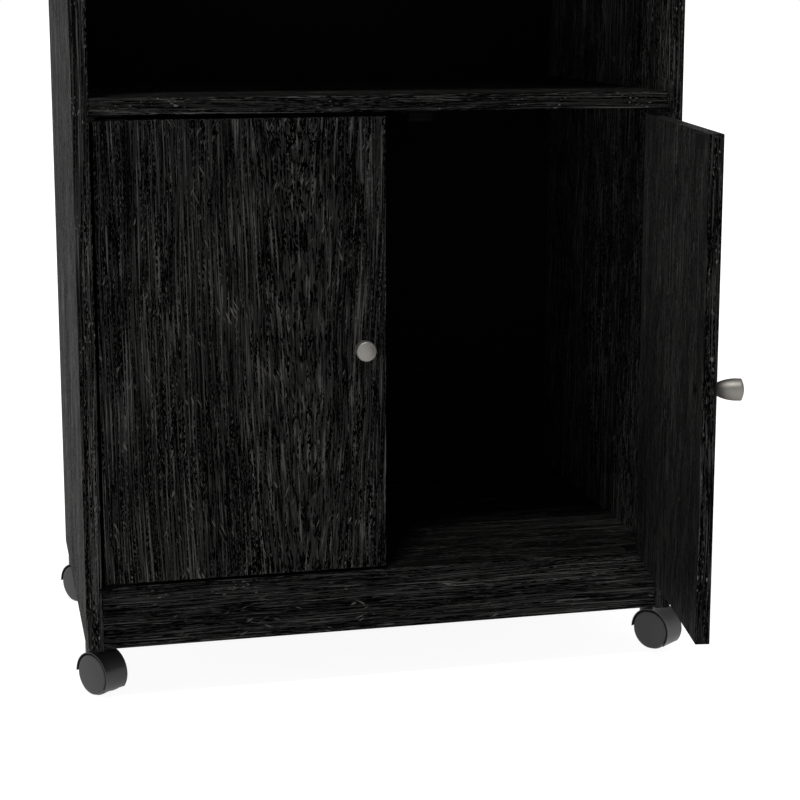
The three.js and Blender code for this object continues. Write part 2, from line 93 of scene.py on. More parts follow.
def add_world():
    """A studio sweep: white round the horizon, and a dimmer ceiling."""
    world = bpy.data.worlds.new("studio")
    world.use_nodes = True
    tree = world.node_tree
    direction = tree.nodes.new("ShaderNodeTexCoord")
    height = tree.nodes.new("ShaderNodeSeparateXYZ")
    ramp = tree.nodes.new("ShaderNodeValToRGB")
    tree.links.new(direction.outputs["Generated"], height.inputs[0])
    tree.links.new(height.outputs["Z"], ramp.inputs["Fac"])
    tree.links.new(ramp.outputs["Color"], tree.nodes["Background"].inputs["Color"])
    low, high = ramp.color_ramp.elements
    low.position, low.color = HORIZON_TOP, (*HORIZON_GLOW, 1)
    high.position, high.color = UPPER_START, (*UPPER_GLOW, 1)
    bpy.context.scene.world = world


def add_key():
    data = bpy.data.lights.new("key", "SUN")
    data.energy = KEY_STRENGTH
    data.angle = math.radians(KEY_SOFTNESS)
    data.color = KEY_COLOUR
    key = bpy.data.objects.new("key", data)
    bpy.context.scene.collection.objects.link(key)
    key.rotation_mode = "QUATERNION"
    key.rotation_quaternion = Vector(KEY_DIRECTION).to_track_quat("-Z", "Y")


# ---------------------------------------------------------------- node helpers


class Shader:
    """A material under construction: a Principled BSDF, and short calls that add nodes in front of it."""

    def __init__(self, name, roughness=0.5, metallic=0.0, specular=0.5):
        self.material = bpy.data.materials.new(name)
        self.material.use_nodes = True
        self.tree = self.material.node_tree
        self.tree.nodes.clear()
        output = self.tree.nodes.new("ShaderNodeOutputMaterial")
        self.bsdf = self.tree.nodes.new("ShaderNodeBsdfPrincipled")
        self.tree.links.new(self.bsdf.outputs[0], output.inputs["Surface"])
        self.bsdf.inputs["Roughness"].default_value = roughness
        self.bsdf.inputs["Metallic"].default_value = metallic
        self.bsdf.inputs["Specular IOR Level"].default_value = specular

    def node(self, kind, inputs=(), **settings):
        made = self.tree.nodes.new(kind)
        for name, value in settings.items():
            setattr(made, name, value)
        for key, value in dict(inputs).items():
            if isinstance(value, bpy.types.NodeSocket):
                self.tree.links.new(value, made.inputs[key])
            else:
                made.inputs[key].default_value = value
        return made

    def link(self, value, socket_name):
        self.tree.links.new(value, self.bsdf.inputs[socket_name])

    def place(self, rotation=(0, 0, 0), shift=(0, 0, 0), scale=(1, 1, 1)):
        """Object coordinates, turned, shifted and scaled."""
        source = self.node("ShaderNodeTexCoord").outputs["Object"]
        return self.node("ShaderNodeMapping", {"Vector": source, "Location": shift,
                         "Rotation": rotation, "Scale": scale}).outputs[0]

    def scaled(self, vector, scale):
        return self.node("ShaderNodeVectorMath", {0: vector, 1: scale}, operation="MULTIPLY").outputs[0]

    def noise(self, vector, detail=3.0, roughness=0.55, output="Fac"):
        return self.node("ShaderNodeTexNoise", {"Vector": vector, "Scale": 1.0, "Detail": detail,
                         "Roughness": roughness}).outputs[output]

    def math(self, operation, a, b=0.0):
        return self.node("ShaderNodeMath", {0: a, 1: b}, operation=operation).outputs[0]

    def blend(self, a, b, share):
        """a and b added, with share of a and the rest of b."""
        return self.math("ADD", self.math("MULTIPLY", a, share), self.math("MULTIPLY", b, 1 - share))

    def window(self, value, low, high, start=0.0, end=1.0):
        """value taken smoothly from low..high to start..end, and held outside."""
        return self.node("ShaderNodeMapRange", {"Value": value, "From Min": low, "From Max": high,
                         "To Min": start, "To Max": end}, interpolation_type="SMOOTHSTEP").outputs[0]

    def between(self, factor, a, b):
        """a where factor is 0, b where it is 1."""
        return self.math("ADD", a, self.math("MULTIPLY", factor, self.math("SUBTRACT", b, a)))

    def scaled_by(self, colour, amount):
        return self.node("ShaderNodeVectorMath", {0: colour, "Scale": amount}, operation="SCALE").outputs[0]

    def toward_face(self, facing, rotation=(0, 0, 0)):
        """How far the surface at rest faces a direction, from -1 to 1, once it is turned by rotation."""
        normal = self.node("ShaderNodeTexCoord").outputs["Normal"]
        turned = self.node("ShaderNodeMapping", {"Vector": normal, "Rotation": rotation},
                           vector_type="VECTOR").outputs[0]
        return self.node("ShaderNodeVectorMath", {0: turned, 1: tuple(facing)},
                         operation="DOT_PRODUCT").outputs["Value"]

    def ramp(self, value, stops):
        made = self.node("ShaderNodeValToRGB", {"Fac": value})
        elements = made.color_ramp.elements
        while len(elements) < len(stops):
            elements.new(0.5)
        for element, (position, colour) in zip(elements, stops):
            element.position = position
            element.color = (*colour, 1)
        return made.outputs[0]

    def mix(self, factor, a, b):
        made = self.node("ShaderNodeMix", data_type="RGBA")
        for index, value in ((0, factor), (6, a), (7, b)):
            if isinstance(value, bpy.types.NodeSocket):
                self.tree.links.new(value, made.inputs[index])
            else:
                made.inputs[index].default_value = value if index == 0 else (*value, 1)
        return made.outputs[2]

    def bump(self, height, distance):
        made = self.node("ShaderNodeBump", {"Height": height, "Distance": distance, "Strength": 1.0})
        self.link(made.outputs[0], "Normal")


def grey(value, warm=0.0):
    return (value * (1 + warm), value, value * (1 - warm))


# ---------------------------------------------------------------- materials

TO_Z_GRAIN = {"Z": (0, 0, 0), "X": (0, -math.pi / 2, 0), "Y": (math.pi / 2, 0, 0)}
OAK_DEEP = grey(0.0001)
OAK_DARK = grey(0.0020, 0.02)
OAK_MID = grey(0.0112, 0.02)
OAK_LIGHT = grey(0.0410, 0.03)
OAK_FLECK = grey(0.058, 0.04)
OAK_PLAIN = grey(0.0115, 0.02)
EDGE_FINENESS = 1.25
EDGE_GAIN = 1.3
FRONT = (0, 1, 0)
SIDE = (1, 0, 0)

# Repeats per metre of the laminate's noises: across the growth rings, along them and along the grain.
BANDS = (95, 4, 1.4)
LINES = (520, 260, 9)
PORE_COLUMNS = (1050, 520, 10)
PORE_BREAKS = (1050, 520)
PATCHES = (30, 6, 3.6)

# The slow sway of the grain, in repeats per metre, and how far it moves the grain in metres.
SWAY = (9, 9, 2.4)
SWAY_REACH = (0.016, 0.016, 0)

# Two sets of flecks: each has its slant in degrees and a shift that sets it apart from the other.
FLECK_SLANTS = ((24, 0.13), (-20, 0.71))
FLECKS = (520, 520, 80)
FLECK_SPREAD = (26, 26, 26)
FLECK_STRENGTH = 0.85

# Relief of the grain, and how deep behind the hardboard's rear face its brown turns to black, in metres.
GRAIN_DEPTH = 0.0001
PRINT_DEPTH = (0.0004, 0.0006)

SCUFFS = 0.25
SCUFF_PALENESS = 2.2


def laminate(name, grain, facing, heart, tilt, seed, breaks_per_metre=260, inner=None, gain=1.0,
             fineness=1.0):
    """Black oak-grain laminate. Grain runs along the named axis; facing is the normal of the broad face.

    The growth rings turn about a heart line that lies heart metres to the side and tilts along the grain,
    which gives straight lines far away and arches near it. The narrow edges carry a straight-grained band.
    inner is (side, foot, head, plain): the face on that side of the board carries painted light, its tone
    scaled by foot at the cabinet's floor and by head at its shelf, with a share plain of its grain evened
    out."""
    s = Shader(name, specular=0.008)
    local = s.place(rotation=TO_Z_GRAIN[grain])
    seeded = s.node("ShaderNodeVectorMath", {0: local, 1: seed}, operation="ADD").outputs[0]

    sway = s.noise(s.scaled(seeded, SWAY), detail=2, output="Color")
    sway = s.node("ShaderNodeVectorMath", {0: sway, 1: (0.5, 0.5, 0.5)}, operation="SUBTRACT").outputs[0]
    swayed = s.node("ShaderNodeVectorMath", {0: local, 1: s.scaled(sway, SWAY_REACH)},
                    operation="ADD").outputs[0]
    part = s.node("ShaderNodeSeparateXYZ", {0: swayed})
    across = s.math("SUBTRACT", part.outputs[0], heart[0])
    depth = s.math("SUBTRACT", part.outputs[1], heart[1])
    depth = s.math("ADD", depth, s.math("MULTIPLY", part.outputs[2], tilt))
    squares = s.math("ADD", s.math("MULTIPLY", across, across), s.math("MULTIPLY", depth, depth))
    ring = s.math("SQRT", squares)
    broad = s.toward_face(facing, TO_Z_GRAIN[grain])
    edge = s.window(s.math("ABSOLUTE", broad), 0.8, 0.5)
    straight = s.math("MULTIPLY", s.math("ADD", part.outputs[0], part.outputs[1]), EDGE_FINENESS)
    ring = s.between(edge, ring, straight)
    along = s.node("ShaderNodeSeparateXYZ", {0: seeded}).outputs[2]
    level = s.math("SUBTRACT", part.outputs[0], part.outputs[1])
    place = s.node("ShaderNodeCombineXYZ", {0: ring, 1: level, 2: along}).outputs[0]
    place = s.scaled(place, (fineness, fineness, 1))

    bands = s.noise(s.scaled(place, BANDS), detail=2.0)
    lines = s.noise(s.scaled(place, LINES), detail=2.0, roughness=0.75)
    columns = s.noise(s.scaled(place, PORE_COLUMNS), detail=1.0)
    breaks = s.noise(s.scaled(place, (*PORE_BREAKS, breaks_per_metre)), detail=1.0)
    patches = s.noise(s.scaled(place, PATCHES), detail=4.0, roughness=0.65)

    tone = s.blend(lines, bands, 0.75)
    colour = s.ramp(tone, [(0.40, OAK_DARK), (0.46, OAK_MID), (0.53, OAK_MID), (0.61, OAK_LIGHT)])
    reach = s.window(patches, 0.36, 0.62, -0.02, 0.09)
    column = s.window(s.math("ADD", columns, reach), 0.495, 0.535)
    pores = s.math("MULTIPLY", column, s.window(breaks, 0.39, 0.47))
    colour = s.mix(pores, colour, OAK_DEEP)

    colour = s.mix(laminate_flecks(s, grain, facing, seed), colour, OAK_FLECK)
    # Painted light: the inner face is made lighter, from foot at the cabinet's floor to head at the shelf,
    # standing in for light that falls on it; a share of its grain is evened out.
    if inner:
        side, foot, head, plain = inner
        painted_light_face = s.window(s.math("MULTIPLY", broad, side), 0.5, 0.8)
        colour = s.mix(s.math("MULTIPLY", painted_light_face, plain), colour, OAK_PLAIN)
        height = s.node("ShaderNodeSeparateXYZ", {0: s.place()}).outputs[2]
        rise = s.window(height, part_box("bottom_panel")[1].z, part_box("shelf")[0].z, foot, head)
        colour = s.scaled_by(colour, s.between(painted_light_face, 1.0, rise))
    s.link(s.scaled_by(colour, s.between(edge, gain, gain * EDGE_GAIN)), "Base Color")
    s.link(s.math("ADD", s.window(tone, 0.35, 0.7, 0.54, 0.42), s.math("MULTIPLY", pores, 0.3)), "Roughness")
    s.bump(s.math("SUBTRACT", s.math("MULTIPLY", lines, 0.5), s.math("MULTIPLY", pores, 0.9)), GRAIN_DEPTH)
    return s.material


def laminate_flecks(s, grain, facing, seed):
    """Sparse light flecks in the plane of the board's face, which cross the grain at two small slants."""
    found = None
    for slant, shift in FLECK_SLANTS:
        turned = s.place(rotation=TO_Z_GRAIN[grain], shift=tuple(v + shift for v in seed))
        turned = s.node("ShaderNodeVectorRotate",
                        {"Vector": turned, "Axis": facing, "Angle": math.radians(slant)},
                        rotation_type="AXIS_ANGLE").outputs[0]
        cells = s.noise(s.scaled(turned, FLECKS), detail=0.0)
        spread = s.noise(s.scaled(turned, FLECK_SPREAD), detail=1.0)
        fleck = s.math("MULTIPLY", s.window(cells, 0.70, 0.80), s.window(spread, 0.56, 0.68))
        found = fleck if found is None else s.math("MAXIMUM", found, fleck)
    return s.math("MULTIPLY", found, FLECK_STRENGTH)


def hardboard():
    """Hardboard with a fine fibre mottle: bare and brown behind, and printed black on the face inside."""
    s = Shader("hardboard", specular=0.02)
    place = s.place()
    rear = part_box("back_panel")[1].y
    printed = s.window(s.node("ShaderNodeSeparateXYZ", {0: place}).outputs[1],
                       rear - PRINT_DEPTH[0], rear - PRINT_DEPTH[1])
    fibre = s.noise(s.scaled(place, (420, 420, 260)), detail=4)
    cloud = s.noise(s.scaled(place, (14, 14, 9)), detail=3)
    speck = s.window(s.noise(s.scaled(place, (900, 900, 500)), detail=2), 0.63, 0.75)
    colour = s.ramp(s.blend(fibre, cloud, 0.6),
                    [(0.34, (0.011, 0.0088, 0.0070)), (0.64, (0.040, 0.031, 0.0235))])
    bare = s.mix(s.math("MULTIPLY", speck, 0.5), colour, (0.080, 0.062, 0.046))
    s.link(s.mix(printed, bare, s.ramp(fibre, [(0.3, grey(0.0012)), (0.7, grey(0.0036))])), "Base Color")
    s.link(s.window(fibre, 0.3, 0.7, 0.72, 0.9), "Roughness")
    s.bump(fibre, 0.00015)
    return s.material


def nickel():
    """Satin nickel: fine turning marks, a warm grey and a few rubbed spots."""
    s = Shader("satin_nickel", metallic=1.0)
    s.bsdf.inputs["Specular Tint"].default_value = (0.35, 0.34, 0.32, 1)
    place = s.place()
    marks = s.noise(s.scaled(place, (2600, 2600, 2600)), detail=3)
    cloud = s.noise(s.scaled(place, (160, 160, 160)), detail=3)
    colour = s.ramp(s.blend(marks, cloud, 0.5),
                    [(0.3, (0.19, 0.182, 0.168)), (0.7, (0.27, 0.260, 0.242))])
    s.link(colour, "Base Color")
    s.link(s.window(cloud, 0.3, 0.7, 0.50, 0.60), "Roughness")
    s.bump(marks, 0.00003)
    return s.material


def zinc():
    """Zinc-plated steel with a faint spangle."""
    s = Shader("zinc_plate", metallic=1.0)
    place = s.place()
    cells = s.node("ShaderNodeTexVoronoi", {"Vector": place, "Scale": 900.0}).outputs["Distance"]
    cloud = s.noise(s.scaled(place, (220, 220, 220)), detail=3)
    s.link(s.ramp(s.blend(cells, cloud, 0.4),
                  [(0.2, (0.27, 0.275, 0.285)), (0.8, (0.42, 0.425, 0.43))]), "Base Color")
    s.link(s.window(cloud, 0.3, 0.7, 0.34, 0.5), "Roughness")
    s.bump(cloud, 0.00003)
    return s.material


def black_steel(name="black_steel", coat=0.0015, worn=0.006):
    """Black-coated steel with wear that lets a little grey through."""
    s = Shader(name, specular=0.03)
    place = s.place()
    grain = s.noise(s.scaled(place, (1800, 1800, 1800)), detail=3)
    wear = s.window(s.noise(s.scaled(place, (300, 300, 300)), detail=4), 0.6, 0.75)
    s.link(s.mix(s.math("MULTIPLY", wear, 0.6), grey(coat), grey(worn)), "Base Color")
    s.link(s.window(grain, 0.3, 0.7, 0.38, 0.52), "Roughness")
    s.bump(grain, 0.00004)
    return s.material


def moulded(name, low, high, roughness, specular):
    """Satin moulded plastic: fine mould grain, soft cloudiness and light scuffs."""
    s = Shader(name, specular=specular)
    place = s.place()
    grain = s.noise(s.scaled(place, (2200, 2200, 2200)), detail=3)
    cloud = s.noise(s.scaled(place, (90, 90, 90)), detail=3)
    scuff = s.window(s.noise(s.scaled(place, (260, 900, 260)), detail=4), 0.62, 0.78)
    colour = s.ramp(s.blend(grain, cloud, 0.35), [(0.3, grey(low)), (0.7, grey(high))])
    s.link(s.mix(s.math("MULTIPLY", scuff, SCUFFS), colour, grey(high * SCUFF_PALENESS)), "Base Color")
    s.link(s.math("ADD", s.window(cloud, 0.3, 0.7, roughness - 0.05, roughness + 0.05),
                  s.math("MULTIPLY", scuff, 0.12)), "Roughness")
    s.bump(grain, 0.00003)
    return s.material


def floor_material():
    s = Shader("pale_floor", roughness=0.75, specular=0.1)
    s.bsdf.inputs["Base Color"].default_value = (*grey(FLOOR_ALBEDO), 1)
    s.bsdf.inputs["Emission Color"].default_value = (1, 1, 1, 1)
    s.bsdf.inputs["Emission Strength"].default_value = FLOOR_GLOW
    return s.material


NICKEL = nickel()
ZINC = zinc()
BLACK_STEEL = black_steel()
# Painted light: a lighter copy of the black steel for the strike plates and their screws, to match the
# painted light on the doors' inner faces.
LIT_STRIKE_STEEL = black_steel("strike_steel", 0.0105, 0.019)
CASTER_PLASTIC = moulded("caster_plastic", 0.0135, 0.0225, 0.36, specular=0.33)
CATCH_PLASTIC = moulded("catch_plastic", 0.0008, 0.0016, 0.6, specular=0.02)
NYLON = moulded("nylon", 0.0020, 0.0035, 0.5, specular=0.05)
HARDBOARD = hardboard()

# ---------------------------------------------------------------- mesh helpers

# The largest share of an edge that the rounding of one of its corners takes.
CORNER_SHARE = 0.45
HEAD_RIM = 28


def add_piece(name, mesh, material, body, replaces=(), place=Matrix.Identity(4)):
    """A finished piece: its mesh moved into the row frame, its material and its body."""
    mesh.transform(place)
    mesh.update()
    piece = bpy.data.objects.new(name, mesh)
    bpy.context.scene.collection.objects.link(piece)
    for one in material if isinstance(material, (list, tuple)) else [material]:
        mesh.materials.append(one)
    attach(piece, body)
    if replaces:
        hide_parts(*replaces)
    return piece


def finish_mesh(bm, name, sharp=SHARP):
    """A mesh with its faces out and smooth, and creased where two faces meet at more than sharp."""
    bmesh.ops.recalc_face_normals(bm, faces=bm.faces[:])
    for face in bm.faces:
        face.smooth = True
    mesh = bpy.data.meshes.new(name)
    bm.to_mesh(mesh)
    bm.free()
    mesh.set_sharp_from_angle(angle=sharp)
    return mesh


def rounded_corner(before, here, after, radius, steps):
    """Points that round off the corner at here, from the side of before to the side of after."""
    before, here, after = Vector(before), Vector(here), Vector(after)
    back, ahead = before - here, after - here
    reach = min(radius, back.length * CORNER_SHARE, ahead.length * CORNER_SHARE)
    start, end = here + back.normalized() * reach, here + ahead.normalized() * reach
    made = []
    for step in range(steps + 1):
        t = step / steps
        made.append(start.lerp(here, t).lerp(here.lerp(end, t), t))
    return made


def fillet(points, radius, steps=4):
    """An open half outline of (r, z) points with its inner corners rounded."""
    made = [Vector(points[0])]
    for before, here, after in zip(points, points[1:], points[2:]):
        made += rounded_corner(before, here, after, radius, steps)
    return made + [Vector(points[-1])]


def round_loop(points, radius, steps=3):
    """A closed outline with every corner rounded."""
    made = []
    for i, here in enumerate(points):
        made += rounded_corner(points[i - 1], here, points[(i + 1) % len(points)], radius, steps)
    return made


def lathe(name, profile, segments, sweep=math.tau, closed_profile=False):
    """Turns a profile of (r, z) about Z. A full turn closes on itself; part of a turn gets flat ends."""
    bm = bmesh.new()
    full = abs(sweep - math.tau) < 1e-6
    count = segments if full else segments + 1
    rings = []
    for r, z in profile:
        if r < 1e-7:
            rings.append([bm.verts.new((0, 0, z))])
            continue
        angles = [sweep * i / segments for i in range(count)]
        rings.append([bm.verts.new((r * math.cos(a), r * math.sin(a), z)) for a in angles])
    pairs = list(zip(rings, rings[1:]))
    if closed_profile:
        pairs.append((rings[-1], rings[0]))
    for low, high in pairs:
        for i in range(count if full else count - 1):
            j = (i + 1) % count
            corners = [low[i % len(low)], low[j % len(low)], high[j % len(high)], high[i % len(high)]]
            unique = list(dict.fromkeys(corners))
            if len(unique) > 2:
                bm.faces.new(unique)
    if closed_profile and not full:
        bm.faces.new([ring[0] for ring in rings])
        bm.faces.new([ring[-1] for ring in reversed(rings)])
    return finish_mesh(bm, name)


def rounded_block(name, low, high, radius, segments=3):
    """A block between two corners with every edge rounded."""
    bm = bmesh.new()
    bmesh.ops.create_cube(bm, size=1.0)
    low, high = Vector(low), Vector(high)
    for vert in bm.verts:
        vert.co = Vector(tuple(low[i] + (vert.co[i] + 0.5) * (high[i] - low[i]) for i in range(3)))
    bmesh.ops.bevel(bm, geom=bm.edges[:], offset=radius, segments=segments, profile=0.5, affect="EDGES")
    return finish_mesh(bm, name, sharp=math.radians(50))


def joined(name, meshes):
    """Several meshes as one."""
    bm = bmesh.new()
    for mesh in meshes:
        bm.from_mesh(mesh)
    made = bpy.data.meshes.new(name)
    bm.to_mesh(made)
    bm.free()
    return made


def placed(mesh, matrix):
    mesh.transform(matrix)
    return mesh


def screw_head(name, radius, height, recess):
    """A low screw head with a cross recess: its face looks up at z = height and its seat is at z = 0."""
    rim = HEAD_RIM
    arm, half = radius * 0.56, radius * 0.13
    crown = radius * 0.35 * min(1.0, height / radius)
    turns = [math.tau * i / rim for i in range(rim)]
    ring = [(radius * math.cos(turn), radius * math.sin(turn)) for turn in turns]
    cross = [(arm, -half), (arm, half), (half, half), (half, arm), (-half, arm), (-half, half),
             (-arm, half), (-arm, -half), (-half, -half), (-half, -arm), (half, -arm), (half, -half)]
    points = [Vector(p) for p in ring + cross]
    edges = [(i, (i + 1) % rim) for i in range(rim)]
    edges += [(rim + i, rim + (i + 1) % len(cross)) for i in range(len(cross))]
    verts, _, faces, *_ = delaunay_2d_cdt(points, edges, [], 1, 1e-9)

    def level(p):
        return height - crown * (p.length / radius) ** 2

    def in_cross(p):
        return (abs(p.x) < arm and abs(p.y) < half) or (abs(p.y) < arm and abs(p.x) < half)

    def key(p):
        return round(p.x, 7), round(p.y, 7)

    bm = bmesh.new()
    top = [bm.verts.new((p.x, p.y, level(p))) for p in verts]
    for face in faces:
        middle = sum((verts[i] for i in face), Vector((0, 0))) / len(face)
        if not in_cross(middle):
            bm.faces.new([top[i] for i in face])
    find = {key(p): i for i, p in enumerate(verts)}
    floor = [bm.verts.new((x * 0.7, y * 0.7, height - recess)) for x, y in cross]
    lip = [top[find[key(p)]] for p in points[rim:]]
    for i in range(len(cross)):
        j = (i + 1) % len(cross)
        bm.faces.new([lip[i], lip[j], floor[j], floor[i]])
    bm.faces.new(floor)
    seat = [bm.verts.new((x, y, 0)) for x, y in ring]
    edge = [top[find[key(p)]] for p in points[:rim]]
    for i in range(rim):
        j = (i + 1) % rim
        bm.faces.new([edge[i], edge[j], seat[j], seat[i]])
    bm.faces.new(seat)
    return finish_mesh(bm, name, sharp=math.radians(40))


def toward(direction, place):
    """A matrix that turns +Z to a direction and then moves to a place."""
    turn = Vector(direction).to_track_quat("Z", "Y").to_matrix().to_4x4()
    return Matrix.Translation(Vector(place)) @ turn


def centre_of(node):
    low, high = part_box(node)
    return (low + high) / 2


def outward_of(hand):
    """The direction that a door's outer face looks in at rest."""
    return (centre_of(f"door_knob_{hand}") - centre_of(f"knob_screw_{hand}")).normalized()


# ---------------------------------------------------------------- boards


def dress_boards():
    """The CAD boards keep their shape and get their grain; the right side panel and the doors get painted
    light on their inner faces.
    """
    dressed = {
        "top_panel": laminate("oak_top", "X", SIDE, heart=(-0.86, -0.10), tilt=0.10, seed=(0.2, 0.9, 0.5),
                              breaks_per_metre=110),
        "shelf": laminate("oak_shelf", "X", SIDE, heart=(-0.28, 0.45), tilt=0.04, seed=(1.7, 0.3, 0.8),
                          breaks_per_metre=110, gain=1.05, fineness=1.3),
        "bottom_panel": laminate("oak_bottom", "X", SIDE, heart=(0.20, 0.40), tilt=0.03, seed=(2.4, 1.3, 0.1),
                                 breaks_per_metre=110, gain=0.8, fineness=1.4),
        "kick_plate": laminate("oak_kick", "X", FRONT, heart=(0.40, -0.15), tilt=0.03, seed=(0.7, 2.2, 1.9),
                               breaks_per_metre=85, gain=1.25, fineness=1.3),
        "rear_rail": laminate("oak_rail", "X", FRONT, heart=(0.40, 0.30), tilt=0.05, seed=(3.1, 0.2, 1.1),
                              breaks_per_metre=85),
        "side_panel_left": laminate("oak_side_left", "Z", SIDE, heart=(-0.42, 0.05), tilt=0.10,
                                    seed=(0.31, 0.07, 0.4), gain=1.12),
        # Painted light: the right side panel's inner face is made 1.7 to 1.9 times lighter, rising towards
        # the shelf.
        "side_panel_right": laminate("oak_side_right", "Z", SIDE, heart=(0.42, 0.02), tilt=0.10,
                                     seed=(0.83, 0.59, 1.7), inner=(-1, 1.7, 1.9, 0)),
        # Painted light: each door's inner face is darker at the cabinet's floor and lighter towards the
        # shelf, with a share of its grain evened out.
        "door_left": laminate("oak_door_left", "Z", FRONT, heart=(-0.085, -0.128), tilt=0.06,
                              seed=(1.1, 0.4, 2.3), inner=(1, 0.65, 1.75, 0.3), gain=1.12),
        "door_right": laminate("oak_door_right", "Z", outward_of("right"), heart=(0.205, -0.30), tilt=0.09,
                               seed=(1.9, 1.4, 0.6), inner=(-1, 0.65, 1.75, 0.3), gain=1.12),
        "back_panel": HARDBOARD,
    }
    for node, material in dressed.items():
        set_material(node, material)


def set_material(node, material):
    slots = NODES[node].data.materials
    if len(slots) == 0:
        slots.append(material)
    for index in range(len(slots)):
        slots[index] = material


# ---------------------------------------------------------------- knobs

KNOB_LENGTH = 0.0289
KNOB_NECK = 0.0050
KNOB_NECK_END = 0.0035
KNOB_SWELL = 2.2
KNOB_WIDEST = 0.0062
KNOB_CORNER = 0.0022
KNOB_CORNER_RISE = 0.8
KNOB_DOME = 0.0017
KNOB_GAP = 0.0001
KNOB_CORNER_START = 5
KNOB_CORNER_TURN = 75
SWELL_STEPS = 20
TIP_STEPS = 8
KNOB_FACETS = 72
SHANK_FACETS = 24

# Radius, height and recess depth of each kind of screw head.
KNOB_SCREW_HEAD = (0.004, 0.0018, 0.0012)
PIVOT_SCREW_HEAD = (0.0028, 0.0011, 0.0008)
CATCH_SCREW_HEAD = (0.0026, 0.0012, 0.0008)
STRIKE_SCREW_HEAD = (0.0028, 0.0009, 0.0006)

KNOB_SCREW_SHANK = ((0, 0.0005), (0.0016, 0.0005), (0.0016, -0.0205), (0, -0.0215))
KNOB_SCREW_SEAT = 0.0128


def knob_profile(length, radius, neck):
    """Half outline of the knob: a short neck swells to the widest part, and a soft corner leads to a dome."""
    widest = length - KNOB_WIDEST
    made = [(0, 0), (neck * 0.96, 0), (neck, 0.0003), (neck, KNOB_NECK_END * 0.7)]
    for i in range(1, SWELL_STEPS + 1):
        t = i / SWELL_STEPS
        made.append((neck + (radius - neck) * (1 - (1 - t) ** KNOB_SWELL),
                     KNOB_NECK_END + (widest - KNOB_NECK_END) * t))
    shoulder = length - KNOB_DOME
    rise = KNOB_CORNER * KNOB_CORNER_RISE
    made.append((radius - KNOB_CORNER * 0.04, (widest + shoulder - rise) / 2))
    for i in range(TIP_STEPS + 1):
        turn = math.radians(KNOB_CORNER_START + KNOB_CORNER_TURN * i / TIP_STEPS)
        made.append((radius - KNOB_CORNER * (1 - math.cos(turn)), shoulder - rise * (1 - math.sin(turn))))
    r0, z0 = made[-1]
    for i in range(1, TIP_STEPS + 1):
        t = i / TIP_STEPS
        made.append((r0 * (1 - t), z0 + (length - z0) * (1 - (1 - t) ** 2)))
    return made


def add_knobs():
    """Turned knobs in satin nickel; the screw behind each has a cross recess."""
    for hand in HANDS:
        low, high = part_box(f"door_knob_{hand}")
        knob = centre_of(f"door_knob_{hand}")
        outward = outward_of(hand)
        foot = knob - outward * (KNOB_LENGTH / 2)
        mesh = lathe("knob", knob_profile(KNOB_LENGTH, (high - low).z / 2, KNOB_NECK), KNOB_FACETS)
        add_piece(f"knob_{hand}", mesh, NICKEL, f"{hand}_door",
                  (f"door_knob_{hand}",), toward(outward, foot))
        head = screw_head("knob_screw_head", *KNOB_SCREW_HEAD)
        shank = lathe("knob_screw_shank", KNOB_SCREW_SHANK, SHANK_FACETS)
        face = knob - outward * (KNOB_LENGTH / 2 + KNOB_GAP)
        seat = face - outward * KNOB_SCREW_SEAT
        piece = joined("knob_screw", [head, shank])
        add_piece(f"knob_bolt_{hand}", piece, BLACK_STEEL, f"{hand}_door",
                  (f"knob_screw_{hand}",), toward(-outward, seat))


# ---------------------------------------------------------------- casters

WHEEL_R = 0.0212
TRAIL = 0.0127
HOOD_R = 0.0227
HOOD_IN = 0.0217
HOOD_HALF = 0.0135
HOOD_SWEEP = math.radians(220)
HOOD_BEAD = 0.00008
BEAD_WIDTH = 0.0012
BEAD_FOOT = 0.0018
WEB_HALF = 0.0031
WEB_SOFT = 0.0002
HUB_R = 0.006
WEB_STEPS = 48
HUB_STEPS = 16
SHELL_COVER = 0.0003
HOOD_SOFT = 0.0003
HOOD_FACETS = 72

WHEEL_FACE = 0.0131
WHEEL_BACK = 0.0040
WHEEL_BORE = 0.0026
WHEEL_BORE_END = 0.0115
WHEEL_FACETS = 88
RIB_DEPTH = 0.0022

# Closed outline of the hood's boss as (radius, level): its bore, the flare at its foot and its mouth.
BOSS_FLARE_TOP = 0.0425
BOSS_FLARE_FOOT = 0.0395
BOSS_OUTLINE = ((0.0042, 0.0500), (0.0042, BOSS_FLARE_TOP), (0.0060, 0.0400), (0.0072, 0.0360),
                (0.0075, 0.0380), (0.0075, 0.0484), (0.0070, 0.0500), (0.0042, 0.0500))
BOSS_SOFT = 0.0004
BOSS_FACETS = 56
# Half outline of the stem: its foot in the boss, the collar, the shaft, the groove and the tapered tip.
STEM_OUTLINE = ((0, 0.0425), (0.004, 0.0425), (0.004, 0.0503), (0.006, 0.0503), (0.006, 0.052),
                (0.004, 0.052), (0.004, 0.0865), (0.0034, 0.0868), (0.0034, 0.0880), (0.004, 0.0884),
                (0.003, 0.0900), (0, 0.0900))
STEM_SOFT = 0.0003
STEM_FACETS = 40
# Closed outline of the socket: a flange under the side panel and a sleeve up into it.
SOCKET_SEAT = 0.0539
SOCKET_OUTLINE = ((0.0041, SOCKET_SEAT - 0.001), (0.0072, SOCKET_SEAT - 0.001), (0.0072, SOCKET_SEAT),
                  (0.0054, SOCKET_SEAT), (0.0054, 0.092), (0.0041, 0.092))
SOCKET_SOFT = 0.0002
SOCKET_FACETS = 40
AXLE_OUTLINE = ((0, -0.011), (0.0025, -0.011), (0.0025, 0.011), (0, 0.011))
AXLE_SOFT = 0.0004
AXLE_FACETS = 32


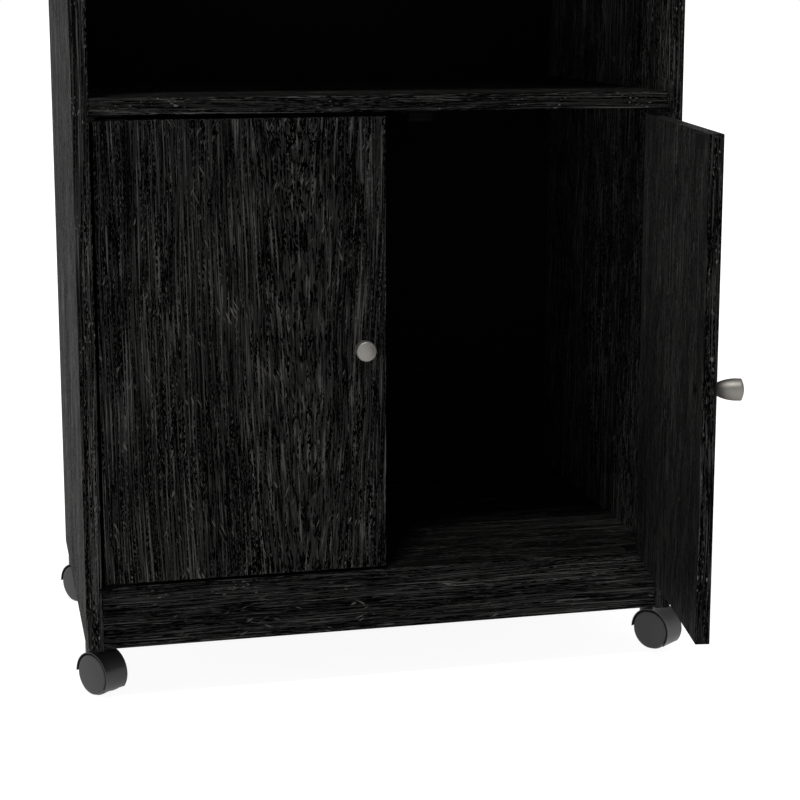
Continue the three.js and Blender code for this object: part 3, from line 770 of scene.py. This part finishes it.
def caster_frame(corner):
    """The caster's own frame: Z up the stem, X along the axle and the wheels towards -Y."""
    swivel = JOINTS[f"{corner}_swivel"]["pos_m"]
    spin = JOINTS[f"{corner}_outer_wheel_spin"]
    along = Vector(spin["axis"]).normalized()
    side = Vector((0, 0, 1)).cross(along)
    turn = Matrix((along, side, (0, 0, 1))).transposed().to_4x4()
    return Matrix.Translation((swivel[0], swivel[1], 0)) @ turn


def across(place):
    """A lathe's axis laid along X, at the axle, with its angle 0 towards the stem and rising over the top."""
    turn = Matrix(((0, 0, 1), (1, 0, 0), (0, 1, 0))).to_4x4()
    return place @ Matrix.Translation((0, -TRAIL, WHEEL_R)) @ turn


def hood_shell():
    """The curved shell with a bead round each rim and soft edges."""
    half, skin, rim = HOOD_HALF, HOOD_R - 0.0001, HOOD_R + HOOD_BEAD
    outline = [(HOOD_IN, -half), (rim, -half), (rim, -half + BEAD_WIDTH), (skin, -half + BEAD_FOOT),
               (skin, half - BEAD_FOOT), (rim, half - BEAD_WIDTH), (rim, half), (HOOD_IN, half)]
    return lathe("hood_shell", round_loop(outline, HOOD_SOFT), HOOD_FACETS, HOOD_SWEEP, closed_profile=True)


def extruded(name, outline, low, high, radius):
    """A flat outline (x, y) given thickness along Z, with softened rims."""
    bm = bmesh.new()
    bottom = [bm.verts.new((x, y, low)) for x, y in outline]
    top = [bm.verts.new((x, y, high)) for x, y in outline]
    count = len(outline)
    bm.faces.new(list(reversed(bottom)))
    bm.faces.new(top)
    for i in range(count):
        j = (i + 1) % count
        bm.faces.new([bottom[i], bottom[j], top[j], top[i]])
    rims = [e for e in bm.edges if abs(e.verts[0].co.z - e.verts[1].co.z) < 1e-9]
    bmesh.ops.bevel(bm, geom=rims, offset=radius, segments=2, profile=0.5, affect="EDGES")
    return finish_mesh(bm, name, sharp=math.radians(40))


def arc(radius, start, sweep, steps):
    """Points (x, y) along an arc about the origin."""
    turns = [start + sweep * i / steps for i in range(steps + 1)]
    return [(radius * math.cos(turn), radius * math.sin(turn)) for turn in turns]


def hood_web():
    """The wall between the wheels, from the shell to a hub round the axle."""
    outline = arc((HOOD_R + HOOD_IN) / 2, 0, HOOD_SWEEP, WEB_STEPS)
    outline += arc(HUB_R, HOOD_SWEEP, math.tau - HOOD_SWEEP, HUB_STEPS)
    return extruded("hood_web", outline, -WEB_HALF, WEB_HALF, WEB_SOFT)


def hood_boss():
    """The upright sleeve for the stem, with a collar at its mouth; its foot follows the shell."""
    profile = fillet(BOSS_OUTLINE, BOSS_SOFT)
    bm = bmesh.new()
    bm.from_mesh(lathe("hood_boss", profile[:-1], BOSS_FACETS, closed_profile=True))
    for vert in bm.verts:
        if vert.co.z < BOSS_FLARE_TOP:
            run = vert.co.y + TRAIL
            shell = WHEEL_R + math.sqrt(max(HOOD_IN ** 2 - run ** 2, 0)) + SHELL_COVER
            vert.co.z = min(shell, vert.co.z) if vert.co.z > BOSS_FLARE_FOOT else shell
    return finish_mesh(bm, "hood_boss")


def wheel_mesh():
    """A wheel turned about Z: a hub cap with a fine ring, a crowned tread and a ribbed inner side."""
    r, face, inner = WHEEL_R, WHEEL_FACE, WHEEL_BACK
    cap = [(0, face + 0.00035), (0.006, face + 0.00033), (0.012, face + 0.00026), (0.0176, face + 0.0001),
           (0.0194, face), (0.0199, face - 0.0003), (0.0201, face - 0.0010), (0.0202, face - 0.0028),
           (r - 0.0003, face - 0.0031), (r, face - 0.0038)]
    tread = [(r, inner + 0.0016), (r - 0.0004, inner + 0.0007), (r - 0.0014, inner)]
    inside = [(0.0170, inner), (0.0168, inner + RIB_DEPTH), (0.0090, inner + RIB_DEPTH), (0.0088, inner),
              (WHEEL_BORE, inner), (WHEEL_BORE, WHEEL_BORE_END), (0, WHEEL_BORE_END)]
    return lathe("wheel", cap + tread + inside, WHEEL_FACETS)


def add_casters():
    """Hooded twin-wheel casters: one moulding over both wheels, a stem in a socket, and an axle."""
    for corner in CORNERS:
        place = caster_frame(corner)
        axle = across(place)
        body = f"caster_{corner}"
        add_piece(f"hood_shell_{corner}", hood_shell(), CASTER_PLASTIC, body,
                  (f"caster_hood_{corner}",), axle)
        add_piece(f"hood_web_{corner}", hood_web(), CASTER_PLASTIC, body, (), axle)
        add_piece(f"hood_boss_{corner}", hood_boss(), CASTER_PLASTIC, body, (), place)
        stem = lathe("stem", fillet(STEM_OUTLINE, STEM_SOFT), STEM_FACETS)
        add_piece(f"stem_{corner}", stem, ZINC, body, (f"caster_stem_{corner}",), place)
        pin = lathe("axle", fillet(AXLE_OUTLINE, AXLE_SOFT), AXLE_FACETS)
        add_piece(f"axle_{corner}", pin, ZINC, body, (f"caster_axle_{corner}",), axle)
        socket = lathe("socket", round_loop(SOCKET_OUTLINE, SOCKET_SOFT), SOCKET_FACETS, closed_profile=True)
        add_piece(f"socket_{corner}", socket, ZINC, "carcass",
                  (f"caster_socket_{corner}",), Matrix.Translation(place.to_translation()))
        for end in ("outer", "inner"):
            node = f"caster_wheel_{corner}_{end}"
            side = (place.inverted() @ centre_of(node)).x
            flip = Matrix.Identity(4) if side > 0 else Matrix.Rotation(math.pi, 4, "X")
            add_piece(f"wheel_{corner}_{end}", wheel_mesh(), CASTER_PLASTIC, f"wheel_{corner}_{end}",
                      (node,), axle @ flip)


# ---------------------------------------------------------------- small fittings

# Screws of a carcass pivot plate: inward from the pin, forward of the plate's rear edge, and above its seat.
PIVOT_SCREWS_INWARD = (0.0115, 0.0235)
PIVOT_SCREWS_FORWARD = 0.0085
PIVOT_SCREWS_RISE = 0.0003

CATCH_EAR = 0.008
CATCH_SOFT = 0.0008
FLANGE_INSET = 0.0015
FLANGE_DEPTH = 0.0022
FLANGE_SOFT = 0.0006
POLE_LEVELS = (0.0022, 0.0062)
POLE_INSET = 0.0105
POLE_PROUD = 0.0002
POLE_REACH = 0.0060
POLE_DEPTH = 0.0012
POLE_SOFT = 0.0002
CATCH_SCREW_INSET = 0.004
CATCH_SCREW_SINK = 0.0020
STRIKE_SCREW_SINK = 0.00015

NAIL_OUTLINE = ((0, 0.0007), (0.0010, 0.00062), (0.0019, 0.00035), (0.0023, 0.0), (0, -0.001))
NAIL_FACETS = 16
NAIL_EDGE = 0.008
NAIL_ROWS = 7
NAIL_ROWS_INSET = 0.03
NAIL_COLUMNS = 5
NAIL_COLUMNS_INSET = 0.09


def add_pivots():
    """The plates and washers keep their CAD shape. Each plate on the carcass gets two screws."""
    for hand in HANDS:
        pin = Vector(JOINTS[f"{hand}_door_hinge"]["pos_m"])
        inward = -1 if hand == "right" else 1
        screws = []
        for place in ("top", "bottom"):
            carcass_plate = f"pivot_plate_carcass_{hand}_{place}"
            set_material(carcass_plate, BLACK_STEEL)
            set_material(f"pivot_plate_door_{hand}_{place}", BLACK_STEEL)
            set_material(f"pivot_washer_{hand}_{place}", NYLON)
            up = -1 if place == "top" else 1
            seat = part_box("shelf")[0].z if place == "top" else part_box("bottom_panel")[1].z
            for step in PIVOT_SCREWS_INWARD:
                spot = Vector((pin.x + inward * step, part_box(carcass_plate)[1].y - PIVOT_SCREWS_FORWARD,
                               seat + up * PIVOT_SCREWS_RISE))
                screws.append(placed(screw_head("screw", *PIVOT_SCREW_HEAD), toward((0, 0, up), spot)))
        add_piece(f"pivot_screws_{hand}", joined("pivot_screws", screws), BLACK_STEEL, "carcass")


def catch_housing(low, high):
    """A rounded block between two ears, which are the ends of a flat flange above it."""
    ear = Vector((CATCH_EAR, 0, 0))
    block = rounded_block("catch_housing", low + ear, high - ear, CATCH_SOFT)
    flange = rounded_block("catch_flange", (low.x, low.y + FLANGE_INSET, high.z - FLANGE_DEPTH),
                           (high.x, high.y - FLANGE_INSET, high.z), FLANGE_SOFT)
    return joined("catch", [block, flange])


def add_catches():
    """Magnetic catches under the shelf, with steel poles and screws; a screwed strike plate on each door."""
    for hand in HANDS:
        low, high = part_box(f"magnetic_catch_{hand}")
        add_piece(f"catch_{hand}", catch_housing(low, high), CATCH_PLASTIC, "carcass",
                  (f"magnetic_catch_{hand}",))
        poles = []
        for level in POLE_LEVELS:
            z = low.z + level
            poles.append(rounded_block("pole", (low.x + POLE_INSET, low.y - POLE_PROUD, z),
                                       (high.x - POLE_INSET, low.y + POLE_REACH, z + POLE_DEPTH), POLE_SOFT))
        add_piece(f"catch_poles_{hand}", joined("poles", poles), BLACK_STEEL, "carcass")
        screws = []
        for x in (low.x + CATCH_SCREW_INSET, high.x - CATCH_SCREW_INSET):
            spot = Vector((x, (low.y + high.y) / 2, high.z - CATCH_SCREW_SINK))
            screws.append(placed(screw_head("screw", *CATCH_SCREW_HEAD), toward((0, 0, -1), spot)))
        add_piece(f"catch_screws_{hand}", joined("catch_screws", screws), BLACK_STEEL, "carcass")
        set_material(f"strike_plate_{hand}", LIT_STRIKE_STEEL)
        outward = outward_of(hand)
        spot = centre_of(f"strike_plate_{hand}") + outward * STRIKE_SCREW_SINK
        add_piece(f"strike_screw_{hand}", screw_head("strike_screw", *STRIKE_SCREW_HEAD), LIT_STRIKE_STEEL,
                  f"{hand}_door", (), toward(-outward, spot))


def add_cam_locks():
    for row in ("front", "rear"):
        for hand in HANDS:
            set_material(f"cam_lock_{row}_{hand}", ZINC)


def spread(low, high, inset, count):
    """Evenly spaced places between two ends, with an inset at each."""
    return [low + inset + (high - low - inset * 2) * i / (count - 1) for i in range(count)]


def add_nails():
    """Domed nails up the back panel's sides, and along the shelf and the bottom panel."""
    low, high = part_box("back_panel")
    spots = []
    for z in spread(low.z, high.z, NAIL_ROWS_INSET, NAIL_ROWS):
        spots += [(low.x + NAIL_EDGE, z), (high.x - NAIL_EDGE, z)]
    for x in spread(low.x, high.x, NAIL_COLUMNS_INSET, NAIL_COLUMNS):
        spots += [(x, centre_of("shelf").z), (x, centre_of("bottom_panel").z)]
    nails = []
    for x, z in spots:
        nails.append(placed(lathe("nail", NAIL_OUTLINE, NAIL_FACETS), toward((0, 1, 0), (x, high.y, z))))
    add_piece("back_panel_nails", joined("nails", nails), ZINC, "carcass")


# ---------------------------------------------------------------- stage


def add_floor():
    half = FLOOR_SIZE / 2
    corners = [(-half, -half, 0), (half, -half, 0), (half, half, 0), (-half, half, 0)]
    mesh = bpy.data.meshes.new("floor")
    mesh.from_pydata(corners, [], [(0, 1, 2, 3)])
    mesh.materials.append(floor_material())
    floor = bpy.data.objects.new("floor", mesh)
    bpy.context.scene.collection.objects.link(floor)


bpy.context.scene.view_settings.view_transform = "Standard"
add_camera()
add_world()
add_key()
add_floor()
dress_boards()
add_knobs()
add_casters()
add_pivots()
add_catches()
add_cam_locks()
add_nails()
